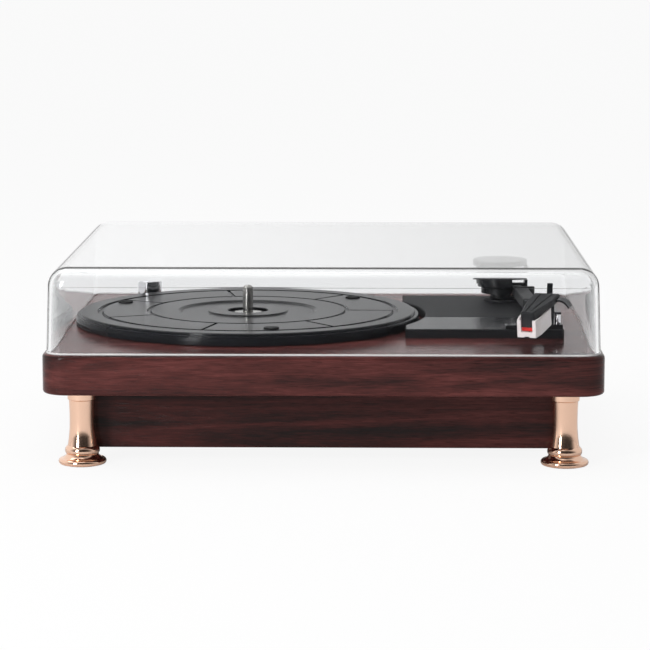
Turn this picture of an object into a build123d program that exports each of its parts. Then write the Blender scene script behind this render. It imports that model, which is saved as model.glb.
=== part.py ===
from build123d import *
import math
import os

# A belt-driven record player on a wooden plinth with turned metal feet and a clear lift-off cover.
# Millimetres. The origin is on the floor under the middle of the plinth, +X to the right of somebody
# standing at the front, +Y towards the back, +Z up.

# Plinth
WIDTH = 350.0
DEPTH = 300.0
BOARD_THICKNESS = 25.0
BOARD_CORNER = 16.0
BOARD_TOP_ROUND = 2.4
BOARD_BOTTOM_ROUND = 2.0
FOOT_HEIGHT = 46.0
DECK = FOOT_HEIGHT + BOARD_THICKNESS

# Lower box of flat panels under the board
BOX_HALF_WIDTH = 146.0
BOX_HALF_DEPTH = 121.0
BOX_BOTTOM = 8.5
PANEL = 6.0
FLOOR_PANEL = 4.0
GLUE_BLOCK = 14.0
GLUE_BLOCK_Y = 68.0

# Feet
FOOT_X = 151.0
FOOT_Y = 132.0
PAD_HEIGHT = 1.5
PAD_SHOWS = 0.5
PAD_DISC = 12.0
STUD_RADIUS = 3.0
STUD_DEPTH = 13.0

# Dust cover
COVER_HALF_WIDTH = 172.5
COVER_HALF_DEPTH = 146.3
COVER_HEIGHT = 53.5
COVER_WALL = 2.5
COVER_DRAFT = 2.0
COVER_CORNER = 13.0
COVER_TOP_ROUND = 12.0

# Platter, heights counted from the deck
PLATTER_X = -53.0
PLATTER_Y = 3.5
PLATTER_RADIUS = 114.5
SKIRT_RADIUS = 115.3
SKIRT_BOTTOM = 0.7
SKIRT_TOP = 6.2
PLATTER_TOP = 8.2
PLATTER_UNDERSIDE = 5.2
DISH_FLOOR = 6.9
HUB_FLOOR = 5.9
GROOVE_COUNT = 7
GROOVE_START = -2.0
PAD_ANGLES = (40.0, 159.0, 282.0)
PAD_CIRCLE = 91.5
PAD_RADIUS = 5.0
PAD_RECESS = 0.6
PAD_STANDS = 0.9

# Spindle and its bearing
SPINDLE_RADIUS = 3.55
SHAFT_RADIUS = 3.0
SPINDLE_TOP = 25.9
SPINDLE_TIP = 3.0
BUSH_RADIUS = 7.95
RUNNING = 0.05

# Belt drive under the platter
BELT_RING = 79.0
PULLEY_RADIUS = 6.0
PULLEY_DISTANCE = 95.0
PULLEY_ANGLE = 60.0
BELT_GAP = 0.3
BELT_THICKNESS = 0.8
MOTOR_RADIUS = 17.0
MOTOR_LENGTH = 21.0

# Control knob
KNOB_X = -127.5
KNOB_Y = 106.0
KNOB_RADIUS = 8.4
KNOB_TOP = 19.4

# Tonearm, heights counted from the deck
PLATE_LEFT = 52.0
PLATE_RIGHT = 154.5
PLATE_FRONT = -71.5
PLATE_BACK = 93.0
PLATE_THICKNESS = 6.0
PLATE_CLEARS_PLATTER = 119.5
ARM_X = 120.0
ARM_Y = 68.0
YOKE_NECK_RADIUS = 7.3
YOKE_RADIUS = 17.0
YOKE_CAP_RADIUS = 18.8
YOKE_BOTTOM = 8.0
YOKE_STACK = 11.6
YOKE_TOP = 29.2
YOKE_CAP = 3.6
SLOT_LEFT = 127.2
SLOT_RIGHT = 136.0
LIFT_AXIS_HEIGHT = 14.0
PIVOT_RADIUS = 1.5
BEAM_LEFT = 127.9
BEAM_RIGHT = 137.4
BEAM_RISE = 8.5
HUB_RADIUS = 7.0
HUB_X = 134.6
HUB_Y = 36.0

# Head of the tonearm, measured in its own frame from the back of the headshell
HEAD_X = 142.0
HEAD_Y = -88.0
HEAD_HEIGHT = 27.9
HEAD_YAW = -110.3
HEAD_PITCH = 8.8
HEAD_LENGTH = 44.0
SHELL_THICKNESS = 4.0
GUARD_BOTTOM = -11.6
GUARD_WALL = 1.1

# Cue lever
CUE_X = 144.9
CUE_Y = -62.0
CUE_TOP = 36.0
CUE_AXIS_HEIGHT = 13.0
CUE_BASE_HEIGHT = 3.0
LIFT_BAR_TOP = 16.2
LIFT_BAR_THICKNESS = 1.6
LIFT_ROD_X = 150.6
LIFT_ROD_RADIUS = 1.9
LIFT_ROD_TRAVEL = 3.2

# Arm rest
REST_TOP = 17.1
REST_BASE = 2.6

# Clearance between pieces that are fixed together
LOOSE = 0.05


def rod(radius, bottom, top, x=0.0, y=0.0):
    """A vertical cylinder between two heights."""
    return Pos(x, y, (bottom + top) / 2) * Cylinder(radius, top - bottom)


def block(x0, x1, y0, y1, z0, z1):
    """A box between two corners."""
    return Pos((x0 + x1) / 2, (y0 + y1) / 2, (z0 + z1) / 2) * Box(x1 - x0, y1 - y0, z1 - z0)


def cross_rod(radius, x0, x1, y, z):
    """A cylinder lying along X."""
    return Pos((x0 + x1) / 2, y, z) * Rot(0, 90, 0) * Cylinder(radius, x1 - x0)


def back_rod(radius, y0, y1, x, z):
    """A cylinder lying along Y."""
    return Pos(x, (y0 + y1) / 2, z) * Rot(90, 0, 0) * Cylinder(radius, y1 - y0)


def turned(profile, x=0.0, y=0.0):
    """A turned piece from a closed outline of radius and height pairs."""
    outline = Polyline([(radius, 0, height) for radius, height in profile], close=True)
    return Pos(x, y, 0) * revolve(make_face(outline), Axis.Z)


def plan(points, bottom, top):
    """An upright prism from a plan outline."""
    outline = Polyline([(x, y, bottom) for x, y in points], close=True)
    return extrude(make_face(outline), top - bottom, dir=(0, 0, 1))


def around_platter(radius, angle):
    """A point on a circle about the spindle."""
    turn = math.radians(angle)
    return PLATTER_X + radius * math.cos(turn), PLATTER_Y + radius * math.sin(turn)


def foot_places():
    """Name and position of each foot."""
    for side, sx in (("left", -1), ("right", 1)):
        for end, sy in (("front", -1), ("rear", 1)):
            yield f"{end}_{side}", sx * FOOT_X, sy * FOOT_Y


PULLEY_X, PULLEY_Y = around_platter(PULLEY_DISTANCE, PULLEY_ANGLE)
PLATE_SCREWS = ((78, -56), (132, -40), (132, 86), (70, 80))
HEAD = Pos(HEAD_X, HEAD_Y, DECK + HEAD_HEIGHT) * Rot(0, 0, HEAD_YAW) * Rot(0, HEAD_PITCH, 0)
JACK_X = -60.0
LINE_OUT_X = (38.0, 58.0)
SOCKET_HEIGHT = 30.0
STANDOFFS = ((25, 40), (95, 40), (25, 90), (95, 90))


# Plinth

def top_board():
    board = extrude(RectangleRounded(WIDTH, DEPTH, BOARD_CORNER), BOARD_THICKNESS)
    board = Pos(0, 0, FOOT_HEIGHT) * board
    board = fillet(board.edges().group_by(Axis.Z)[-1], BOARD_TOP_ROUND)
    board = fillet(board.edges().group_by(Axis.Z)[0], BOARD_BOTTOM_ROUND)
    board -= rod(BUSH_RADIUS + LOOSE, FOOT_HEIGHT, DECK, PLATTER_X, PLATTER_Y)
    board -= rod(PULLEY_RADIUS + 3, FOOT_HEIGHT, DECK, PULLEY_X, PULLEY_Y)
    board -= rod(5.0, FOOT_HEIGHT, DECK, KNOB_X, KNOB_Y)
    for _, x, y in foot_places():
        board -= rod(STUD_RADIUS + LOOSE, FOOT_HEIGHT, FOOT_HEIGHT + STUD_DEPTH + 1, x, y)
    for x, y in PLATE_SCREWS:
        board -= rod(1.6, FOOT_HEIGHT, DECK, x, y)
    return board


def long_panel(sign):
    outer = sign * BOX_HALF_DEPTH
    inner = sign * (BOX_HALF_DEPTH - PANEL)
    low, high = sorted((outer, inner))
    return block(-BOX_HALF_WIDTH, BOX_HALF_WIDTH, low, high, BOX_BOTTOM, FOOT_HEIGHT)


def back_panel():
    panel = long_panel(1)
    inner, outer = BOX_HALF_DEPTH - PANEL, BOX_HALF_DEPTH
    panel -= back_rod(5.0 + LOOSE, inner, outer, JACK_X, SOCKET_HEIGHT)
    for x in LINE_OUT_X:
        panel -= back_rod(3.0 + LOOSE, inner, outer, x, SOCKET_HEIGHT)
    return panel


def side_panel(sign):
    low, high = sorted((sign * BOX_HALF_WIDTH, sign * (BOX_HALF_WIDTH - PANEL)))
    reach = BOX_HALF_DEPTH - PANEL
    return block(low, high, -reach, reach, BOX_BOTTOM, FOOT_HEIGHT)


def block_places():
    """Middles of the glue blocks along the box's sides."""
    x = BOX_HALF_WIDTH - PANEL - GLUE_BLOCK / 2
    return [(sx * x, sy * GLUE_BLOCK_Y) for sx in (-1, 1) for sy in (-1, 1)]


def bottom_panel():
    x = BOX_HALF_WIDTH - PANEL
    y = BOX_HALF_DEPTH - PANEL
    panel = block(-x, x, -y, y, BOX_BOTTOM, BOX_BOTTOM + FLOOR_PANEL)
    for bx, by in block_places():
        panel -= rod(1.6, BOX_BOTTOM, BOX_BOTTOM + FLOOR_PANEL, bx, by)
        panel -= rod(3.1, BOX_BOTTOM, BOX_BOTTOM + 1.6, bx, by)
    slot = extrude(SlotOverall(24, 4, 90), FLOOR_PANEL)
    vents = [Pos(PULLEY_X + 9 * step, PULLEY_Y - 30, BOX_BOTTOM) * slot for step in range(-2, 3)]
    return panel - vents


def glue_blocks():
    blocks = Part()
    half = GLUE_BLOCK / 2
    for x, y in block_places():
        piece = block(x - half, x + half, y - half, y + half, BOX_BOTTOM + FLOOR_PANEL, FOOT_HEIGHT)
        blocks += piece - rod(1.35, BOX_BOTTOM + FLOOR_PANEL, BOX_BOTTOM + 18, x, y)
    return blocks


def pan_screw(x, y, seat, tip, head_radius=3.0, radius=1.3, head=1.5):
    """A screw driven upwards: its head hangs under the seat height."""
    screw = rod(radius, seat, tip, x, y) + rod(head_radius, seat - head, seat, x, y)
    for turn in (0, 90):
        screw -= Pos(x, y, seat - head) * Rot(0, 0, turn) * Box(head_radius * 1.1, 0.7, 1.2)
    return screw


def base_screws():
    return Part() + [pan_screw(x, y, BOX_BOTTOM + 1.6, BOX_BOTTOM + 17) for x, y in block_places()]


def foot(x, y):
    """A turned column: rounded base, collar, waisted stem and top ring."""
    low = PAD_SHOWS
    outline = Polyline((0, 0, low), (13.9, 0, low))
    outline += ThreePointArc((13.9, 0, low), (15.0, 0, 2.1), (13.9, 0, 3.9))
    outline += ThreePointArc((13.9, 0, 3.9), (11.4, 0, 4.9), (10.0, 0, 6.7))
    outline += ThreePointArc((10.0, 0, 6.7), (10.9, 0, 9.4), (9.2, 0, 12.0))
    outline += ThreePointArc((9.2, 0, 12.0), (8.2, 0, 19.0), (7.75, 0, 28.0))
    outline += ThreePointArc((7.75, 0, 28.0), (7.85, 0, 35.0), (8.1, 0, 40.8))
    outline += Polyline((8.1, 0, 40.8), (8.9, 0, 41.4), (8.9, 0, FOOT_HEIGHT),
                        (0, 0, FOOT_HEIGHT), (0, 0, low))
    column = revolve(make_face(outline.edges()), Axis.Z)
    column -= rod(STUD_RADIUS + LOOSE, FOOT_HEIGHT - STUD_DEPTH - 1, FOOT_HEIGHT)
    column -= rod(PAD_DISC + LOOSE, PAD_SHOWS, PAD_HEIGHT)
    return Pos(x, y, 0) * column


def foot_pad(x, y):
    return rod(PAD_DISC, 0, PAD_HEIGHT, x, y)


def foot_studs():
    return Part() + [rod(STUD_RADIUS, FOOT_HEIGHT - STUD_DEPTH, FOOT_HEIGHT + STUD_DEPTH, x, y)
                     for _, x, y in foot_places()]


def dust_cover():
    """An upturned tray: outside shape less the same shape set in by the wall."""
    def tray(inset):
        size = RectangleRounded(2 * (COVER_HALF_WIDTH - inset), 2 * (COVER_HALF_DEPTH - inset),
                                COVER_CORNER - inset)
        solid = extrude(size, COVER_HEIGHT - inset, taper=COVER_DRAFT)
        return fillet(solid.edges().group_by(Axis.Z)[-1], COVER_TOP_ROUND - inset)
    return Pos(0, 0, DECK) * (tray(0) - tray(COVER_WALL))


# Platter and drive

def platter():
    r = PLATTER_RADIUS
    moat, ring, dish, boss, hub = 0.865 * r, 0.58 * r, 0.41 * r, 0.23 * r, 0.118 * r
    top = PLATTER_TOP
    under = PLATTER_UNDERSIDE
    profile = [
        (SHAFT_RADIUS + LOOSE, 1.4), (10, 1.4), (10, under),
        (BELT_RING - 3, under), (BELT_RING - 3, 1.5), (BELT_RING, 1.5), (BELT_RING, under),
        (112.0, under), (112.8, SKIRT_BOTTOM), (SKIRT_RADIUS, SKIRT_BOTTOM), (SKIRT_RADIUS, 3.2),
        (r + 0.4, 5.2), (r, SKIRT_TOP), (r - 2.0, SKIRT_TOP), (r - 2.6, top - 0.5), (r - 3.2, top),
        (moat + 2.0, top), (moat + 1.1, top - 1.5), (moat - 1.1, top - 1.5), (moat - 2.0, top),
        (ring + 1.5, top), (ring + 0.8, top - 1.2), (ring - 0.8, top - 1.2), (ring - 1.5, top),
        (dish, top), (dish - 2.6, DISH_FLOOR), (boss + 0.8, DISH_FLOOR), (boss, top - 0.3),
        (hub + 0.5, top - 0.3), (hub, top - 0.8), (hub, HUB_FLOOR), (SHAFT_RADIUS + LOOSE, HUB_FLOOR),
    ]
    disc = turned(profile)
    middle = (moat + ring) / 2
    for step in range(GROOVE_COUNT):
        spoke = Pos(middle, 0, top) * Box(moat - ring, 2.2, 2.2)
        disc -= Rot(0, 0, GROOVE_START + 360 * step / GROOVE_COUNT) * spoke
    disc = Pos(PLATTER_X, PLATTER_Y, DECK) * disc
    for angle in PAD_ANGLES:
        x, y = around_platter(PAD_CIRCLE, angle)
        disc -= rod(PAD_RADIUS + LOOSE, DECK + top - PAD_RECESS, DECK + top, x, y)
    return disc


def platter_pads():
    bottom = DECK + PLATTER_TOP - PAD_RECESS
    pads = Part()
    for angle in PAD_ANGLES:
        pad = rod(PAD_RADIUS, bottom, DECK + PLATTER_TOP + PAD_STANDS, *around_platter(PAD_CIRCLE, angle))
        pads += fillet(pad.edges().group_by(Axis.Z)[-1], 0.3)
    return pads


def spindle():
    shoulder = DECK + HUB_FLOOR + 0.9
    profile = [(0, FOOT_HEIGHT + 0.3), (SHAFT_RADIUS - 1, FOOT_HEIGHT + 0.3),
               (SHAFT_RADIUS, FOOT_HEIGHT + 1.3), (SHAFT_RADIUS, shoulder),
               (SPINDLE_RADIUS, shoulder), (SPINDLE_RADIUS, DECK + SPINDLE_TOP - SPINDLE_TIP),
               (1.7, DECK + SPINDLE_TOP - 0.5), (1.0, DECK + SPINDLE_TOP), (0, DECK + SPINDLE_TOP)]
    return turned(profile, PLATTER_X, PLATTER_Y)


def hub_clip():
    """The open spring clip that keeps the platter on its spindle."""
    bottom = DECK + HUB_FLOOR
    ring = rod(9.0, bottom, bottom + 0.8, PLATTER_X, PLATTER_Y)
    ring -= rod(SHAFT_RADIUS + LOOSE, bottom, bottom + 0.8, PLATTER_X, PLATTER_Y)
    return ring - Pos(PLATTER_X, PLATTER_Y - 7, bottom) * Box(3.0, 10.0, 4.0)


def bearing_bush():
    bush = rod(BUSH_RADIUS, FOOT_HEIGHT, DECK, PLATTER_X, PLATTER_Y)
    bush += rod(11.0, DECK, DECK + 0.9, PLATTER_X, PLATTER_Y)
    return bush - rod(SHAFT_RADIUS + RUNNING, FOOT_HEIGHT, DECK + 0.9, PLATTER_X, PLATTER_Y)


def thrust_plate():
    return rod(13.0, FOOT_HEIGHT - 2, FOOT_HEIGHT, PLATTER_X, PLATTER_Y)


def belt_loop(extra):
    """The face inside a tight loop round the platter's belt ring and the pulley."""
    big, small = BELT_RING + extra, PULLEY_RADIUS + extra
    reach = PULLEY_DISTANCE
    lean = math.acos((big - small) / reach)
    cos, sin = math.cos(lean), math.sin(lean)
    web = [(big * cos, big * sin), (reach + small * cos, small * sin),
           (reach + small * cos, -small * sin), (big * cos, -big * sin)]
    return Circle(big) + Pos(reach, 0) * Circle(small) + make_face(Polyline(web, close=True))


def drive_belt():
    band = belt_loop(BELT_GAP + BELT_THICKNESS) - belt_loop(BELT_GAP)
    belt = extrude(band, 2.4)
    return Pos(PLATTER_X, PLATTER_Y, DECK + 1.9) * Rot(0, 0, PULLEY_ANGLE) * belt


def motor_pulley():
    low, high = 1.3, 4.8
    profile = [(1.0 + LOOSE, low), (6.6, low), (6.6, low + 0.4), (PULLEY_RADIUS, low + 0.5),
               (PULLEY_RADIUS, high - 0.5), (6.6 - 0.6, high), (1.0 + LOOSE, high)]
    return Pos(0, 0, DECK) * turned(profile, PULLEY_X, PULLEY_Y)


def motor_shaft():
    return rod(1.0, FOOT_HEIGHT - 14, DECK + 4.9, PULLEY_X, PULLEY_Y)


def motor_can():
    top = FOOT_HEIGHT - 4
    can = rod(MOTOR_RADIUS, top - MOTOR_LENGTH, top, PULLEY_X, PULLEY_Y)
    can = fillet(can.edges().group_by(Axis.Z)[0], 2.0)
    can += rod(5.0, top, top + 2, PULLEY_X, PULLEY_Y)
    return can - rod(1.0 + RUNNING, FOOT_HEIGHT - 14.3, FOOT_HEIGHT, PULLEY_X, PULLEY_Y)


def motor_lugs():
    return [(PULLEY_X + side * 23, PULLEY_Y) for side in (-1, 1)]


def motor_plate():
    low, high = FOOT_HEIGHT - 4, FOOT_HEIGHT - 2.5
    plate = Pos(PULLEY_X, PULLEY_Y, low) * extrude(SlotOverall(60, 14), high - low)
    plate -= rod(5.0 + LOOSE, low, high, PULLEY_X, PULLEY_Y)
    for x, y in motor_lugs():
        plate -= rod(1.6, low, high, x, y)
    return plate


def motor_grommets():
    rings = Part()
    low = FOOT_HEIGHT - 2.5
    for x, y in motor_lugs():
        rings += rod(4.0, low, FOOT_HEIGHT, x, y) - rod(1.6, low, FOOT_HEIGHT, x, y)
    return rings


def motor_screws():
    return Part() + [pan_screw(x, y, FOOT_HEIGHT - 4, FOOT_HEIGHT - 0.2) for x, y in motor_lugs()]


# Control

def control_knob():
    bottom, top = DECK + 0.8, DECK + KNOB_TOP
    knob = rod(KNOB_RADIUS, bottom, top, KNOB_X, KNOB_Y)
    knob = chamfer(knob.edges().group_by(Axis.Z)[-1], 0.8)
    knob -= rod(7.0, bottom, bottom + 2.6, KNOB_X, KNOB_Y)
    knob -= rod(3.0 + LOOSE, bottom, top - 3, KNOB_X, KNOB_Y)
    return knob - Pos(KNOB_X, KNOB_Y - 4.4, top) * Box(1.0, 5.0, 0.8)


def switch_shaft():
    return rod(3.0, FOOT_HEIGHT - 9, DECK + KNOB_TOP - 3, KNOB_X, KNOB_Y)


def rotary_switch():
    body = rod(7.5, FOOT_HEIGHT - 11, FOOT_HEIGHT, KNOB_X, KNOB_Y)
    body += rod(4.9, FOOT_HEIGHT, DECK + 2.4, KNOB_X, KNOB_Y)
    return body - rod(3.0 + RUNNING, FOOT_HEIGHT - 9.3, DECK + 2.4, KNOB_X, KNOB_Y)


def switch_nut():
    nut = Pos(KNOB_X, KNOB_Y, DECK) * extrude(RegularPolygon(6.4, 6), 1.9)
    return nut - rod(4.9 + LOOSE, DECK, DECK + 2, KNOB_X, KNOB_Y)


# Electronics in the box

def circuit_board():
    low = BOX_BOTTOM + FLOOR_PANEL + 6
    board = block(20, 100, 35, 95, low, low + 1.6)
    for x, y in STANDOFFS:
        board -= rod(1.6, low, low + 1.6, x, y)
    return board


def board_standoffs():
    low = BOX_BOTTOM + FLOOR_PANEL
    return Part() + [rod(3.0, low, low + 6, x, y) + rod(1.5, low + 6, low + 8.2, x, y)
                     for x, y in STANDOFFS]


def board_components():
    low = BOX_BOTTOM + FLOOR_PANEL + 7.6
    cans = [rod(4.0, low, low + 12, 35 + 12 * step, 80) for step in range(3)]
    chips = [block(40, 58, 52, 60, low, low + 3), block(68, 80, 50, 64, low, low + 10)]
    return Part() + cans + chips


def power_jack():
    inner, face = BOX_HALF_DEPTH - 12, BOX_HALF_DEPTH
    jack = back_rod(5.0, inner, face, JACK_X, SOCKET_HEIGHT)
    jack += back_rod(7.0, face, face + 1.6, JACK_X, SOCKET_HEIGHT)
    jack -= back_rod(2.9, face - 8, face + 1.6, JACK_X, SOCKET_HEIGHT)
    return jack + back_rod(0.9, face - 8, face + 0.6, JACK_X, SOCKET_HEIGHT)


def line_out(x):
    face = BOX_HALF_DEPTH
    socket = back_rod(3.0, face - 12, face, x, SOCKET_HEIGHT)
    socket += back_rod(6.0, face, face + 1.5, x, SOCKET_HEIGHT)
    socket += back_rod(4.15, face + 1.5, face + 10.5, x, SOCKET_HEIGHT)
    return socket - back_rod(1.6, face + 1.5, face + 10.5, x, SOCKET_HEIGHT)


# Tonearm, fixed pieces

def tonearm_plate():
    plate = block(PLATE_LEFT, PLATE_RIGHT, PLATE_FRONT, PLATE_BACK, DECK, DECK + PLATE_THICKNESS)
    plate = fillet(plate.edges().filter_by(Axis.Z).group_by(Axis.X)[-1], 3.0)
    plate -= rod(PLATE_CLEARS_PLATTER, DECK, DECK + PLATE_THICKNESS, PLATTER_X, PLATTER_Y)
    plate = chamfer(plate.edges().group_by(Axis.Z)[-1], 0.6)
    plate -= rod(4.0 + LOOSE, DECK, DECK + PLATE_THICKNESS, ARM_X, ARM_Y)
    for x, y in PLATE_SCREWS:
        plate -= rod(1.35, DECK, DECK + 4.2, x, y)
    well = PLATE_THICKNESS - LIFT_ROD_TRAVEL - 0.6
    return plate - rod(LIFT_ROD_RADIUS + 0.3, DECK + well, DECK + PLATE_THICKNESS, LIFT_ROD_X, CUE_Y)


def plate_screws():
    return Part() + [pan_screw(x, y, FOOT_HEIGHT, DECK + 4) for x, y in PLATE_SCREWS]


def arm_pillar():
    """The fixed post that the tonearm turns on, with its foot flange."""
    post = rod(4.0, DECK, DECK + 19.5, ARM_X, ARM_Y)
    return post + rod(12.0, DECK + PLATE_THICKNESS, DECK + 7.5, ARM_X, ARM_Y)


def arm_rest():
    """A low block at the front of the plate with a post and a shelf under the arm."""
    low = DECK + PLATE_THICKNESS
    top = DECK + REST_TOP
    base = block(116.5, 133.4, -71.2, -62.0, low, low + REST_BASE)
    base = chamfer(base.edges().group_by(Axis.Z)[-1], 0.5)
    post = block(128.6, 133.4, -71.0, -66.4, low, top)
    shelf = block(127.6, 138.4, -71.0, -66.8, top - 2.2, top)
    return base + post + shelf


def cue_base():
    """The block beside the arm with two ears for the lever's pin and a bore for the lift rod."""
    low = DECK + PLATE_THICKNESS
    base = block(142.0, 153.4, -70.0, -54.0, low, low + CUE_BASE_HEIGHT)
    for x0 in (142.0, 146.9):
        ear = block(x0, x0 + 0.9, CUE_Y - 2.6, CUE_Y + 2.6, low, DECK + CUE_AXIS_HEIGHT + 2.4)
        base += ear - cross_rod(0.8 + LOOSE, x0, x0 + 0.9, CUE_Y, DECK + CUE_AXIS_HEIGHT)
    return base - rod(LIFT_ROD_RADIUS + RUNNING, low, low + CUE_BASE_HEIGHT, LIFT_ROD_X, CUE_Y)


def cue_pin():
    return cross_rod(0.8, 141.8, 148.0, CUE_Y, DECK + CUE_AXIS_HEIGHT)


def cue_lever():
    """An upright stick on a small hub, thinner towards its tip."""
    axis_z = DECK + CUE_AXIS_HEIGHT
    hub = cross_rod(2.5, 143.1, 146.7, CUE_Y, axis_z)
    low = Plane(origin=(CUE_X, CUE_Y, axis_z)) * Rectangle(3.6, 4.2)
    high = Plane(origin=(CUE_X + 0.5, CUE_Y + 0.6, DECK + CUE_TOP)) * Rectangle(3.5, 2.8)
    stick = loft([low, high])
    stick = fillet(stick.edges().group_by(Axis.Z)[-1], 0.6)
    return hub + stick - cross_rod(0.8 + RUNNING, 143.1, 146.7, CUE_Y, axis_z)


def cue_rod():
    """The polished rod that carries the lift bar."""
    bottom = DECK + PLATE_THICKNESS + LOOSE
    return rod(LIFT_ROD_RADIUS, bottom, DECK + LIFT_BAR_TOP - LIFT_BAR_THICKNESS, LIFT_ROD_X, CUE_Y)


def cue_lift_bar():
    top = DECK + LIFT_BAR_TOP
    bottom = top - LIFT_BAR_THICKNESS
    bar = block(129.0, 152.6, -51.0, -48.0, bottom, top)
    bar += block(148.6, 152.6, CUE_Y - 2.0, -48.0, bottom, top)
    return bar


# Tonearm, moving pieces

def arm_yoke():
    """The round turret: stepped discs on a neck, a slot for the beam, a thin right cheek and a cap."""
    low, stack, high = DECK + YOKE_BOTTOM, DECK + YOKE_STACK, DECK + YOKE_TOP
    middle = (stack + high) / 2
    body = rod(YOKE_NECK_RADIUS, low, stack, ARM_X, ARM_Y)
    body += rod(YOKE_RADIUS - 3.4, stack, stack + 4.6, ARM_X, ARM_Y)
    body += rod(YOKE_RADIUS - 1.0, stack + 4.6, middle, ARM_X, ARM_Y)
    body += rod(YOKE_RADIUS - 1.7, middle, middle + 0.8, ARM_X, ARM_Y)
    body += rod(YOKE_RADIUS, middle + 0.8, high, ARM_X, ARM_Y)
    far = ARM_Y + YOKE_CAP_RADIUS + 1
    near = ARM_Y - YOKE_CAP_RADIUS - 1
    body -= block(SLOT_LEFT, ARM_X + YOKE_CAP_RADIUS + 1, near, far, low, high)
    cheek = block(SLOT_RIGHT, SLOT_RIGHT + 2.2, ARM_Y - 7.6, ARM_Y + 7.6, low, high)
    cheek = chamfer(cheek.edges().filter_by(Axis.X).group_by(Axis.Z)[0], 2.6)
    foot_bar = block(SLOT_LEFT - 2, SLOT_RIGHT + 2.2, ARM_Y - 5.0, ARM_Y + 5.0, low, low + 1.2)
    cap = rod(YOKE_CAP_RADIUS, high, high + YOKE_CAP, ARM_X - 0.6, ARM_Y - 1.0)
    cap = fillet(cap.edges().group_by(Axis.Z)[-1], 0.8)
    yoke = body + cheek + foot_bar + cap
    yoke -= rod(4.0 + RUNNING, low - 1, DECK + 19.8, ARM_X, ARM_Y)
    return yoke - cross_rod(PIVOT_RADIUS + LOOSE, 125.0, SLOT_RIGHT + 3, ARM_Y, DECK + LIFT_AXIS_HEIGHT)


def pivot_pin():
    return cross_rod(PIVOT_RADIUS, 125.2, SLOT_RIGHT + 2.6, ARM_Y, DECK + LIFT_AXIS_HEIGHT)


def arm_beam():
    """A long moulding with a round hub by the turret that rises gently to the head."""
    back, step, front = 98.0, 46.0, -58.0
    neck_left, neck_right = 128.0, 135.2
    rise = math.degrees(math.atan2(BEAM_RISE, ARM_Y - HEAD_Y))
    outline = [(neck_left, back), (neck_left, step), (BEAM_LEFT, 30), (BEAM_LEFT + 0.6, front),
               (134.6, front - 2), (136.2, -84), (139.2, -92), (146.4, -89.4), (143.4, -76),
               (BEAM_RIGHT, -58), (BEAM_RIGHT, 30), (neck_right, step), (neck_right, back)]
    beam = plan(outline, -3.6, 3.2)
    beam = fillet(beam.edges().filter_by(Axis.Z).filter_by_position(Axis.Y, -60, 40), 1.6)
    beam = chamfer(beam.edges().group_by(Axis.Z)[-1], 0.7)
    beam -= block(neck_left, neck_right, 80, back, -3.6, -1.6)
    hub = rod(HUB_RADIUS, -3.6, 4.4, HUB_X, HUB_Y)
    beam += fillet(hub.edges().group_by(Axis.Z)[-1], 0.8)
    beam = Pos(0, -ARM_Y, 0) * beam
    beam = Pos(0, ARM_Y, DECK + LIFT_AXIS_HEIGHT) * Rot(-rise, 0, 0) * beam
    return beam - cross_rod(PIVOT_RADIUS + RUNNING, 120, 145, ARM_Y, DECK + LIFT_AXIS_HEIGHT)


def counterweight():
    weight = block(125.4, 137.8, 86.8, 99.6, DECK + 10.2, DECK + 19.6)
    return fillet(weight.edges().filter_by(Axis.Y), 1.2) - arm_beam()


def headshell():
    """A tapering hood with ridges on its back, over the cartridge."""
    hood = plan([(0, -8.4), (16, -8.2), (HEAD_LENGTH, -4.3), (HEAD_LENGTH, 4.3), (16, 8.2), (0, 8.4)],
                0, SHELL_THICKNESS)
    hood = fillet(hood.edges().filter_by(Axis.Z).group_by(Axis.X)[-1], 1.2)
    hood = chamfer(hood.edges().group_by(Axis.Z)[-1], 0.8)
    for side in (-1, 1):
        hood -= Pos(22, side * 2.6, SHELL_THICKNESS) * Rot(0, 0, -side * 3.0) * Box(38, 0.7, 1.0)
    hood += plan([(-2.5, -5), (6, -5), (6, 5), (-2.5, 5)], -2.2, 0)
    return HEAD * hood - arm_beam()


def finger_lift():
    """A curved tab beside the headshell."""
    bend = ThreePointArc((0, 8.45, 2.6), (0, 13.0, 2.1), (0, 17.2, -2.2))
    outline = bend + Polyline((0, 17.2, -2.2), (0, 16.4, -2.8))
    outline += ThreePointArc((0, 16.4, -2.8), (0, 12.5, 1.0), (0, 8.45, 1.4))
    outline += Polyline((0, 8.45, 1.4), (0, 8.45, 2.6))
    return HEAD * Pos(3.0, 0, 0) * extrude(make_face(outline.edges()), 7.0, dir=(1, 0, 0))


def cartridge():
    body = plan([(18, -5), (HEAD_LENGTH - 0.6, -4.2), (HEAD_LENGTH - 0.6, 4.2), (18, 5)], -6.0, 0)
    return HEAD * body


def stylus_holder():
    body = plan([(20, -4.4), (HEAD_LENGTH - 0.4, -3.9), (HEAD_LENGTH - 0.4, 3.9), (20, 4.4)], -8.2, -6.0)
    return HEAD * body


def stylus():
    """The thin cantilever under the holder with its down-pointing tip."""
    lever = Pos(35, 0, -9.0) * Rot(0, 90, 0) * Cylinder(0.4, 12.0)
    lever += Pos(32, 0, -8.6) * Box(4, 2.4, 0.8)
    lever += Pos(40.4, 0, -9.6) * Rot(180, 0, 0) * Cone(0.45, 0.12, 1.0)
    return HEAD * lever


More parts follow.
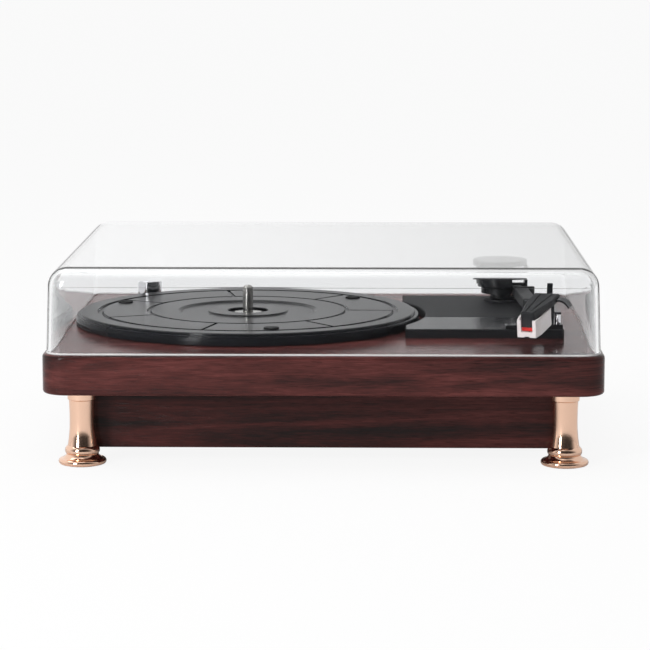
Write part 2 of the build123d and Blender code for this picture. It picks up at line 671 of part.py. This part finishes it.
def stylus_guard():
    """A clear cap that slides off forwards: side walls, a notched front and two runners below."""
    def outline(grow):
        return [(17, -6.2 - grow), (38, -6.2 - grow), (HEAD_LENGTH + 1.4 + grow, -4.9 - grow),
                (HEAD_LENGTH + 1.4 + grow, 4.9 + grow), (38, 6.2 + grow), (17, 6.2 + grow)]
    cap = plan(outline(GUARD_WALL), GUARD_BOTTOM, -0.6)
    inside = [(x - (0.0 if x > 17 else 1.0), y) for x, y in outline(0)]
    cap -= plan(inside, GUARD_BOTTOM + GUARD_WALL, 0)
    slope = plan([(16, -9), (24, -9), (24, 9), (16, 9)], -8, 8)
    cap -= Pos(-2.5, 0, -12) * Rot(0, 35, 0) * Pos(-4, 0, 0) * slope
    cap -= Pos(HEAD_LENGTH + 2, 0, -4.2) * Box(6, 7.6, 8.2)
    cap -= Pos(36, 0, GUARD_BOTTOM) * Box(40, 3.4, 1.2)
    return HEAD * cap


def build_all():
    """Every node of the record player by name."""
    nodes = {
        "top_board": top_board(),
        "front_panel": long_panel(-1),
        "back_panel": back_panel(),
        "left_panel": side_panel(-1),
        "right_panel": side_panel(1),
        "bottom_panel": bottom_panel(),
        "glue_blocks": glue_blocks(),
        "base_screws": base_screws(),
        "foot_studs": foot_studs(),
        "dust_cover": dust_cover(),
        "platter": platter(),
        "spindle": spindle(),
        "platter_pads": platter_pads(),
        "hub_clip": hub_clip(),
        "bearing_bush": bearing_bush(),
        "thrust_plate": thrust_plate(),
        "drive_belt": drive_belt(),
        "motor_pulley": motor_pulley(),
        "motor_shaft": motor_shaft(),
        "motor_can": motor_can(),
        "motor_plate": motor_plate(),
        "motor_grommets": motor_grommets(),
        "motor_screws": motor_screws(),
        "control_knob": control_knob(),
        "switch_shaft": switch_shaft(),
        "rotary_switch": rotary_switch(),
        "switch_nut": switch_nut(),
        "circuit_board": circuit_board(),
        "board_standoffs": board_standoffs(),
        "board_components": board_components(),
        "power_jack": power_jack(),
        "line_out_left": line_out(LINE_OUT_X[0]),
        "line_out_right": line_out(LINE_OUT_X[1]),
        "tonearm_plate": tonearm_plate(),
        "plate_screws": plate_screws(),
        "arm_pillar": arm_pillar(),
        "arm_rest": arm_rest(),
        "cue_base": cue_base(),
        "cue_pin": cue_pin(),
        "cue_lever": cue_lever(),
        "cue_rod": cue_rod(),
        "cue_lift_bar": cue_lift_bar(),
        "arm_yoke": arm_yoke(),
        "pivot_pin": pivot_pin(),
        "arm_beam": arm_beam(),
        "counterweight": counterweight(),
        "headshell": headshell(),
        "finger_lift": finger_lift(),
        "cartridge": cartridge(),
        "stylus_holder": stylus_holder(),
        "stylus": stylus(),
        "stylus_guard": stylus_guard(),
    }
    for name, x, y in foot_places():
        nodes[f"foot_{name}"] = foot(x, y)
        nodes[f"foot_pad_{name}"] = foot_pad(x, y)
    return nodes


os.makedirs("parts", exist_ok=True)
for node, shape in build_all().items():
    export_step(shape, f"parts/{node}.step")
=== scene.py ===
# %% [markdown]
# # A record player under a clear cover
#
# The construction comes ready made: board, box, feet, platter, tonearm and cover are already at their
# real size and place. This lesson dresses them. Each finish is built from nodes, so it has grain, gloss
# and small flaws at the scale of the real thing, and it stays the same from every side.

# %% Load the construction
import bpy
import math
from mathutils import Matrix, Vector


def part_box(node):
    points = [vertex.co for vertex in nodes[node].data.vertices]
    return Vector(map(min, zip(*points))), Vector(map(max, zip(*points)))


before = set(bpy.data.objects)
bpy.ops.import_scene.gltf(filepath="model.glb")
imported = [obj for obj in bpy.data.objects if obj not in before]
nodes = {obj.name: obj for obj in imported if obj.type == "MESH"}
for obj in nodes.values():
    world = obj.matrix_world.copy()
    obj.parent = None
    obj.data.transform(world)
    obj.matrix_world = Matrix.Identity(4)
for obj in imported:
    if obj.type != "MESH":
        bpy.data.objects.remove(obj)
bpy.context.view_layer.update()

# %% [markdown]
# ## Writing shader maths as sums
#
# A finish is a network of small nodes. Wiring them one by one hides the idea, so `Wire` lets a socket
# take part in ordinary Python sums.

# %% Wires that can be added and multiplied
class Wire:
    """One output socket of a finish, usable in sums."""

    def __init__(self, finish, socket):
        self.finish = finish
        self.socket = socket

    def maths(self, operation, first, second=None):
        values = {0: first} if second is None else {0: first, 1: second}
        return self.finish.node("ShaderNodeMath", {"operation": operation}, values)

    def __add__(self, other):
        return self.maths("ADD", self, other)

    def __radd__(self, other):
        return self.maths("ADD", other, self)

    def __sub__(self, other):
        return self.maths("SUBTRACT", self, other)

    def __rsub__(self, other):
        return self.maths("SUBTRACT", other, self)

    def __mul__(self, other):
        return self.maths("MULTIPLY", self, other)

    def __rmul__(self, other):
        return self.maths("MULTIPLY", other, self)

    def __gt__(self, other):
        return self.maths("GREATER_THAN", self, other)

    def __lt__(self, other):
        return self.maths("LESS_THAN", self, other)

    def __abs__(self):
        return self.maths("ABSOLUTE", self)


print("wires ready")

# %% [markdown]
# ## A finish and its usual nodes
#
# `Finish.node` adds any node: its type, its settings, then its sockets. The other methods name the nodes
# that nearly every finish needs, such as a noise, a colour ramp or a bump.

# %% Finishes
class Finish:
    """A node material, or the world's own nodes, being built."""

    def __init__(self, name, shelf=bpy.data.materials):
        self.material = shelf.new(name)
        self.material.use_nodes = True
        self.tree = self.material.node_tree
        self.tree.nodes.clear()

    def node(self, kind, settings=None, values=None, output=0):
        """Adds one node and returns one of its outputs as a wire."""
        made = self.tree.nodes.new(kind)
        for key, value in (settings or {}).items():
            setattr(made, key, value)
        for key, value in (values or {}).items():
            if isinstance(value, Wire):
                self.tree.links.new(value.socket, made.inputs[key])
            else:
                made.inputs[key].default_value = value
        return Wire(self, made.outputs[output]) if made.outputs else None

    def axes(self, vector):
        """The X, Y and Z of a vector, as three wires."""
        parts = self.node("ShaderNodeSeparateXYZ", None, {0: vector}).socket.node
        return [Wire(self, socket) for socket in parts.outputs]

    def spot(self):
        """Where a point lies on the piece, in metres."""
        return self.node("ShaderNodeTexCoord", output="Object")

    def upward(self):
        """How far a point faces up: one for a level top, minus one for an underside."""
        return self.axes(self.node("ShaderNodeTexCoord", output="Normal"))[2]

    def vector_maths(self, operation, first, second):
        return self.node("ShaderNodeVectorMath", {"operation": operation}, {0: first, 1: second})

    def place(self, stretch=(1.0, 1.0, 1.0)):
        """Where a point lies on the piece, stretched along each axis."""
        return self.vector_maths("MULTIPLY", self.spot(), stretch)

    def noise(self, where, scale, detail=4.0, rough=0.55, warp=0.0):
        return self.node("ShaderNodeTexNoise", None, {"Vector": where, "Scale": scale, "Detail": detail,
                                                      "Roughness": rough, "Distortion": warp})

    def ramp(self, amount, *stops):
        """A colour ramp, from pairs of place and colour."""
        wire = self.node("ShaderNodeValToRGB", None, {"Fac": amount})
        elements = wire.socket.node.color_ramp.elements
        while len(elements) < len(stops):
            elements.new(0.5)
        for element, (place, colour) in zip(elements, stops):
            element.position = place
            element.color = colour
        return wire

    def mix(self, amount, first, second):
        """Blends two colours."""
        return self.node("ShaderNodeMix", {"data_type": "RGBA"}, {0: amount, 6: first, 7: second}, output=2)

    def blend(self, amount, first, second):
        """Blends two shaders."""
        return self.node("ShaderNodeMixShader", None, {0: amount, 1: first, 2: second})

    def bump(self, height, depth, strength):
        return self.node("ShaderNodeBump", None, {"Height": height, "Distance": depth, "Strength": strength})

    def surface(self, **sockets):
        """The main shader, with socket names written with underscores."""
        values = {key.replace("_", " "): value for key, value in sockets.items()}
        return self.node("ShaderNodeBsdfPrincipled", None, values)

    def done(self, shader):
        self.node("ShaderNodeOutputMaterial", None, {"Surface": shader})
        return self.material


def rgb(red, green, blue):
    return (red, green, blue, 1.0)


def scaled(colour, factor, lift=0.0):
    """A colour made lighter or darker, and lifted towards grey."""
    return rgb(*(min(1.0, factor * part + lift) for part in colour))


print("finishes ready")

# %% [markdown]
# ## Rosewood veneer
#
# The plinth is a board wrapped in red-brown veneer. The grain is long along the wood and fine across it,
# which is a noise stretched hard along one axis. The level faces run their grain along X. The upright
# ones carry it round the corners, so there it runs along X less Y, which changes steadily round a corner.
# Thin dark pores ride on top of broad red and brown bands. The lacquer is thin, so the wood keeps its
# colour at a glancing look.

# %% The veneer
ROSEWOOD = (0.080, 0.0235, 0.0215)
# The box wears the same rosewood made 0.72 times darker: a painted shade for the box under the board.
BOX_PAINTED_SHADE = 0.72
LEVEL_FACING = 0.7
PORE_START, PORE_STRENGTH = 0.63, 0.55
GRAIN = {
    "clouds": {"length": 5.0, "width": 14.0, "scale": 1.4, "detail": 2.0, "warp": 0.6},
    "bands": {"length": 2.6, "width": 38.0, "scale": 1.6, "detail": 3.0, "warp": 1.2},
    "fibres": {"length": 38.0, "width": 520.0, "scale": 2.0, "detail": 5.0, "warp": 0.4},
    "pores": {"length": 30.0, "width": 900.0, "scale": 2.4, "detail": 2.0, "warp": 0.0},
}


def veneer_finish(name, shade):
    wood = Finish(name)
    level = abs(wood.upward()) > LEVEL_FACING
    x, y, z = wood.axes(wood.spot())
    flow = wood.node("ShaderNodeCombineXYZ", None, {0: x - (1.0 - level) * y, 1: level * y, 2: z})

    def streaks(length, width, scale, detail, warp):
        stretched = wood.vector_maths("MULTIPLY", flow, (length, width, width))
        return wood.noise(stretched, scale, detail, 0.6, warp)

    clouds, bands, fibres, pores = (streaks(**row) for row in GRAIN.values())
    tone = bands * 0.56 + fibres * 0.26 + clouds * 0.18
    figure = wood.ramp(tone, (0.39, scaled(shade, 0.12, 0.008)), (0.46, scaled(shade, 0.5, 0.004)),
                       (0.53, rgb(*shade)), (0.62, scaled(shade, 1.7)))
    pore_mask = (pores > PORE_START) * PORE_STRENGTH
    colour = wood.mix(pore_mask, figure, scaled(shade, 0.18))
    rough = 0.12 + fibres * 0.12
    relief = wood.bump(fibres * 0.6 - pore_mask, 0.00008, 0.5)
    return wood.done(wood.surface(Base_Color=colour, Roughness=rough, Normal=relief, Coat_Weight=0.02,
                                  Coat_Roughness=0.10, Specular_IOR_Level=0.10))


veneer = veneer_finish("rosewood_veneer", ROSEWOOD)
# Painted shade: the box's veneer is the board's veneer, darkened.
shaded_box_veneer = veneer_finish("rosewood_box_painted_shade", scaled(ROSEWOOD, BOX_PAINTED_SHADE)[:3])
print("veneer:", veneer.name, shaded_box_veneer.name)

# %% [markdown]
# ## Metals
#
# Polished plate is nearly a mirror. What makes it look real is a faint unevenness: a slow change of
# roughness, and turning marks that run round the piece, here a noise squeezed along Z so its rings lie
# flat. The numbers of each metal are its roughness, how much that varies, and how close the marks lie.

# %% Rose gold, steel, chrome and bronze
def metal_finish(name, colour, rough, spread, marks):
    metal = Finish(name)
    cloud = metal.noise(metal.place(), 60.0, 3.0)
    rings = metal.noise(metal.place((30.0, 30.0, marks)), 1.0, 2.0)
    tint = metal.mix(cloud * 0.5, rgb(*colour), scaled(colour, 0.86))
    smear = rough + cloud * spread
    relief = metal.bump(rings, 0.00002, 0.18)
    return metal.done(metal.surface(Base_Color=tint, Metallic=1.0, Roughness=smear, Normal=relief))


rose_gold = metal_finish("rose_gold_plate", (0.93, 0.62, 0.46), 0.08, 0.07, 2600.0)
steel = metal_finish("bright_steel", (0.54, 0.53, 0.51), 0.14, 0.12, 3000.0)
chrome = metal_finish("chrome_plate", (0.72, 0.72, 0.74), 0.03, 0.06, 1500.0)
bronze = metal_finish("sintered_bronze", (0.62, 0.42, 0.20), 0.32, 0.20, 900.0)
plated_steel = metal_finish("plated_steel", (0.52, 0.52, 0.50), 0.28, 0.18, 700.0)
print("metals:", rose_gold.name, steel.name, chrome.name, bronze.name, plated_steel.name)

# %% [markdown]
# ## Black mouldings
#
# Platter, plate and arm are black plastic, but not one black. A mould leaves a spark-eroded grain that
# scatters the highlight, while a polished mould leaves gloss. Roughness, grain size and grain depth are
# the dials. Dust and handling lighten the surface a little in soft patches.

# %% Black plastics and rubber
def moulded_finish(name, colour, rough, grain, depth, coat=0.0):
    plastic = Finish(name)
    patches = plastic.noise(plastic.place(), 28.0, 4.0)
    texture = plastic.noise(plastic.place(), grain, 2.0, 0.5)
    worn = plastic.mix(patches * 0.45, rgb(*colour), scaled(colour, 1.5, 0.002))
    smear = rough + (patches - 0.5) * 0.12
    relief = plastic.bump(texture, depth, 0.5)
    return plastic.done(plastic.surface(Base_Color=worn, Roughness=smear, Normal=relief, Coat_Weight=coat,
                                        Coat_Roughness=0.12, Specular_IOR_Level=0.18))


satin_black = moulded_finish("satin_black_moulding", (0.012, 0.0125, 0.014), 0.50, 2600.0, 0.00003)
gloss_black = moulded_finish("gloss_black_moulding", (0.010, 0.0105, 0.012), 0.26, 1800.0, 0.00002, 0.25)
matt_black = moulded_finish("matt_black_moulding", (0.016, 0.016, 0.018), 0.55, 3000.0, 0.00005)
rubber = moulded_finish("black_rubber", (0.012, 0.012, 0.012), 0.74, 3600.0, 0.00006)
red_moulding = moulded_finish("red_moulding", (0.47, 0.024, 0.020), 0.30, 2600.0, 0.00002)
board_lacquer = moulded_finish("green_board_lacquer", (0.02, 0.11, 0.045), 0.34, 900.0, 0.00005)
print("mouldings:", satin_black.name, gloss_black.name, matt_black.name)

# %% [markdown]
# ## Platter
#
# The top of the platter is satin with a turned grain of fine circles, and its skirt is glossy. Both are
# one moulding, so one finish covers it: the way a point faces tells top from skirt. The circles come from
# the distance to the spindle.

# %% The platter's finish
TOP_FACING = 0.6
CIRCLES_PER_METRE = 900.0


def platter_finish():
    disc = Finish("platter_moulding")
    low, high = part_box("spindle")
    middle = (low + high) / 2
    centred = disc.vector_maths("SUBTRACT", disc.spot(), (middle.x, middle.y, 0))
    flat = disc.vector_maths("MULTIPLY", centred, (1, 1, 0))
    radius = disc.node("ShaderNodeVectorMath", {"operation": "LENGTH"}, {0: flat}, output="Value")
    circles = disc.noise(disc.node("ShaderNodeCombineXYZ", None, {0: radius * CIRCLES_PER_METRE}), 1.0, 3.0)
    top = disc.upward() > TOP_FACING
    patches = disc.noise(disc.place(), 16.0, 4.0)
    colour = disc.mix(top * (0.35 + patches * 0.5), rgb(0.0065, 0.007, 0.0085), rgb(0.021, 0.021, 0.0215))
    rough = 0.16 + top * (0.09 + circles * 0.08 + patches * 0.06)
    relief = disc.bump(circles * top, 0.00003, 0.35)
    return disc.done(disc.surface(Base_Color=colour, Roughness=rough, Normal=relief, Specular_IOR_Level=0.09,
                                  Coat_Weight=top * 0.22, Coat_Roughness=0.20))


platter_black = platter_finish()
print("platter:", platter_black.name)

# %% [markdown]
# ## Tonearm plate
#
# The front strip of the plate has a high gloss and the part behind it is finely textured. A step at one
# place along Y, measured from the plate itself, switches between the two.

# %% The tonearm plate's finish
GLOSS_SHARE = 0.335


def plate_finish():
    plate = Finish("tonearm_plate_moulding")
    low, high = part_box("tonearm_plate")
    strip_end = low.y + GLOSS_SHARE * (high.y - low.y)
    textured = plate.axes(plate.spot())[1] > strip_end
    grain = plate.noise(plate.place(), 2400.0, 2.0)
    patches = plate.noise(plate.place(), 22.0, 3.0)
    colour = plate.mix(textured * 0.5 + patches * 0.2, rgb(0.011, 0.0115, 0.013), rgb(0.017, 0.017, 0.019))
    rough = 0.22 + textured * 0.36 + patches * 0.06
    relief = plate.bump(grain * (0.05 + textured), 0.00002, 0.3)
    return plate.done(plate.surface(Base_Color=colour, Roughness=rough, Normal=relief,
                                    Specular_IOR_Level=0.2))


plate_black = plate_finish()
print("plate:", plate_black.name)

# %% [markdown]
# ## Clear cover and milky guard
#
# The cover is polished acrylic with a real wall, so a glass-like shader bends light at its edges by
# itself. Shadows need help: light that goes straight through clear plastic is slow to trace, so for
# shadow rays the wall is simply see-through. A pale band along the bottom rim is a painted highlight,
# a bright line at the cover's foot. The guard over the stylus is the same plastic, left milky.

# %% Acrylic
ACRYLIC_IOR = 1.49
# Height and strength of the painted highlight, a pale band along the cover's bottom rim.
RIM_HIGHLIGHT_HEIGHT = 0.0008
RIM_HIGHLIGHT_SHARE = 0.7


def clear_finish(name, colour, rough, milk, highlight_below=None):
    """Clear plastic; below a given height a pale band is painted on the wall as a highlight."""
    acrylic = Finish(name)
    dust = acrylic.noise(acrylic.place(), 420.0, 3.0)
    smear = rough + (dust > 0.72) * 0.02
    body = acrylic.surface(Base_Color=rgb(*colour), Roughness=smear, IOR=ACRYLIC_IOR,
                           Transmission_Weight=1.0 - milk)
    if highlight_below:
        height = acrylic.axes(acrylic.spot())[2]
        # Painted highlight: rough white plastic over the lowest band of the wall.
        rim_highlight = acrylic.surface(Base_Color=rgb(0.9, 0.9, 0.9), Roughness=0.6)
        body = acrylic.blend((height < highlight_below) * RIM_HIGHLIGHT_SHARE, body, rim_highlight)
    clear = acrylic.node("ShaderNodeBsdfTransparent", None, {"Color": rgb(*colour)})
    shadow = acrylic.node("ShaderNodeLightPath", output="Is Shadow Ray")
    return acrylic.done(acrylic.blend(shadow * (1.0 - 0.6 * milk), body, clear))


cover_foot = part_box("dust_cover")[0].z
clear_acrylic = clear_finish("clear_acrylic", (0.975, 0.98, 0.985), 0.0, 0.0, cover_foot + RIM_HIGHLIGHT_HEIGHT)
milky_acrylic = clear_finish("milky_acrylic", (0.95, 0.89, 0.885), 0.22, 0.55)
print("acrylic:", clear_acrylic.name, milky_acrylic.name)

# %% [markdown]
# ## Which piece has which finish
#
# Every node of the construction gets one finish. A table by finish reads like a maker's parts list.

# %% Dress the construction
FEET = [f"{end}_{side}" for side in ("left", "right") for end in ("front", "rear")]
DRESS = {
    veneer: ["top_board"],
    # The box panels get the darkened veneer copy, a painted shade.
    shaded_box_veneer: ["front_panel", "back_panel", "left_panel", "right_panel", "bottom_panel", "glue_blocks"],
    rose_gold: [f"foot_{foot}" for foot in FEET],
    rubber: [f"foot_pad_{foot}" for foot in FEET] + ["platter_pads", "drive_belt", "motor_grommets"],
    clear_acrylic: ["dust_cover"],
    milky_acrylic: ["stylus_guard"],
    platter_black: ["platter"],
    plate_black: ["tonearm_plate"],
    steel: ["spindle", "hub_clip", "motor_shaft", "switch_shaft", "foot_studs", "cue_pin", "pivot_pin",
            "stylus"],
    chrome: ["control_knob", "cue_rod", "line_out_left", "line_out_right"],
    bronze: ["bearing_bush", "motor_pulley"],
    plated_steel: ["base_screws", "thrust_plate", "motor_can", "motor_plate", "motor_screws", "switch_nut",
                   "plate_screws"],
    gloss_black: ["arm_rest", "cue_base", "cue_lever", "cue_lift_bar", "arm_yoke", "finger_lift"],
    satin_black: ["arm_beam", "headshell"],
    matt_black: ["rotary_switch", "board_standoffs", "board_components", "power_jack", "arm_pillar",
                 "counterweight", "cartridge"],
    red_moulding: ["stylus_holder"],
    board_lacquer: ["circuit_board"],
}


def dress(piece, finish):
    """Puts one finish in every slot of a piece."""
    slots = piece.data.materials
    for index in range(len(slots)):
        slots[index] = finish
    if not slots:
        slots.append(finish)


for finish, names in DRESS.items():
    for name in names:
        dress(nodes[name], finish)
undressed = set(nodes) - {name for names in DRESS.values() for name in names}
print("undressed nodes:", sorted(undressed))

# %% [markdown]
# ## Floor
#
# The player stands on white paper that ends a little way in front of it. So the front of the clear cover,
# which shows the floor there like a faint mirror, has something dark to show. To the eye the whole floor
# is white, also straight through the cover, and the paper keeps a little of the player's shadow.

# %% White paper
PAPER_EDGE = -0.80
PAPER_GLOW = 0.90
DARK_GLOW = 0.95
FLOOR_SIZE = 80.0


def light_path(finish, *kinds):
    """One where the ray is of any of these kinds, else zero."""
    total = 0.0
    for kind in kinds:
        total = finish.node("ShaderNodeLightPath", output=f"Is {kind} Ray") + total
    return total > 0.5


def seen_through(finish):
    """One where the ray came straight through clear plastic, with no mirror on its way, else zero."""
    mirrors = finish.node("ShaderNodeLightPath", output="Glossy Depth")
    return light_path(finish, "Transmission") * (mirrors < 0.5)


def white_paper():
    paper = Finish("white_paper")
    fibre = paper.noise(paper.place(), 300.0, 3.0)
    on_paper = paper.axes(paper.spot())[1] > PAPER_EDGE
    sheet = paper.mix(fibre * 0.3, rgb(0.93, 0.93, 0.93), rgb(0.90, 0.90, 0.90))
    tone = paper.mix(on_paper, rgb(0.012, 0.012, 0.012), sheet)
    matt = paper.surface(Base_Color=tone, Roughness=0.9)
    glow = paper.node("ShaderNodeEmission", None, {"Color": rgb(1, 1, 1), "Strength": 1.0})
    glow_share = DARK_GLOW + on_paper * (PAPER_GLOW - DARK_GLOW)
    mirrored = light_path(paper, "Transmission") * on_paper
    seen = light_path(paper, "Camera") + seen_through(paper) + mirrored > 0.5
    return paper.done(paper.blend(seen * glow_share, matt, glow))


bpy.ops.mesh.primitive_plane_add(size=FLOOR_SIZE, location=(0, 0, 0))
floor = bpy.context.object
floor.name = "floor"
floor.data.materials.append(white_paper())
print("floor:", floor.name)

# %% [markdown]
# ## Room
#
# As a lamp the room is even, and to the eye it is white, also straight through the cover. Gloss and the
# mirror images in the cover see more in it: white at the back, dim behind the camera, and overhead bright
# at the left and dim at the right. That gives the turned feet their dark sides.

# %% The room
ROOM_LAMP = 0.55
FRONT_SHADE, BACK_SHADE = 0.05, 0.95


def studio_room():
    studio = Finish("studio", bpy.data.worlds)
    side, depth, height = studio.axes(studio.node("ShaderNodeTexCoord", output="Generated"))

    def shade(amount, start, end, low, high):
        return studio.node("ShaderNodeMapRange", {"interpolation_type": "SMOOTHSTEP"},
                           {"Value": amount, "From Min": start, "From Max": end,
                            "To Min": low, "To Max": high})

    wall = shade(depth, -0.75, 0.05, FRONT_SHADE, BACK_SHADE) * shade(side, -0.12, 0.12, 1.05, 0.80)
    overhead = shade(height, 0.80, 0.99, 0.0, 1.0) * shade(side, -0.15, 0.25, 1.0, 0.15)
    room = wall + overhead * (1.0 - wall)
    straight = light_path(studio, "Camera") + seen_through(studio)
    reflected = light_path(studio, "Glossy", "Transmission") * (1.0 - straight)
    strength = ROOM_LAMP + reflected * (room - ROOM_LAMP) + straight * (1.0 - ROOM_LAMP)
    light = studio.node("ShaderNodeBackground", None, {"Color": rgb(1, 1, 1), "Strength": strength})
    studio.node("ShaderNodeOutputWorld", None, {"Surface": light})
    return studio.material


scene = bpy.context.scene
scene.world = studio_room()
print("room:", scene.world.name)

# %% [markdown]
# ## Lamps
#
# A large soft lamp hangs above, a little to the left. A tall narrow one stands at the front left and
# draws the bright line down each turned foot.

# %% Two softboxes
def softbox(name, place, target, width, height, watts):
    """A large rectangular lamp that looks at a point."""
    lamp = bpy.data.lights.new(name, "AREA")
    lamp.shape = "RECTANGLE"
    lamp.size, lamp.size_y = width, height
    lamp.energy = watts
    holder = bpy.data.objects.new(name, lamp)
    holder.location = place
    holder.rotation_euler = (Vector(target) - Vector(place)).to_track_quat("-Z", "Y").to_euler()
    bpy.context.collection.objects.link(holder)


softbox("top_softbox", (-0.35, 0.15, 1.3), (0, 0, 0.07), 1.1, 1.2, 5.5)
softbox("strip_softbox", (-0.85, -1.25, 0.50), (0, 0, 0.05), 0.30, 0.95, 12.0)
print("lamps:", [item.name for item in bpy.data.lights])

# %% [markdown]
# ## Camera
#
# A long lens from nearly two metres away looks slightly down on the front, with little perspective.

# %% The camera
EYE = (0.0286, -1.7548, 0.3239)
LENS = 146.05
SENSOR = 36.0
TURN_LEFT = 0.970
LOOK_DOWN = 8.262

eye = bpy.data.cameras.new("eye")
eye.lens = LENS
eye.sensor_width = SENSOR
camera = bpy.data.objects.new("eye", eye)
camera.location = EYE
camera.rotation_euler = (math.radians(90 - LOOK_DOWN), 0.0, math.radians(TURN_LEFT))
bpy.context.collection.objects.link(camera)
scene.camera = camera
scene.view_settings.view_transform = "Standard"
print("camera at", EYE)
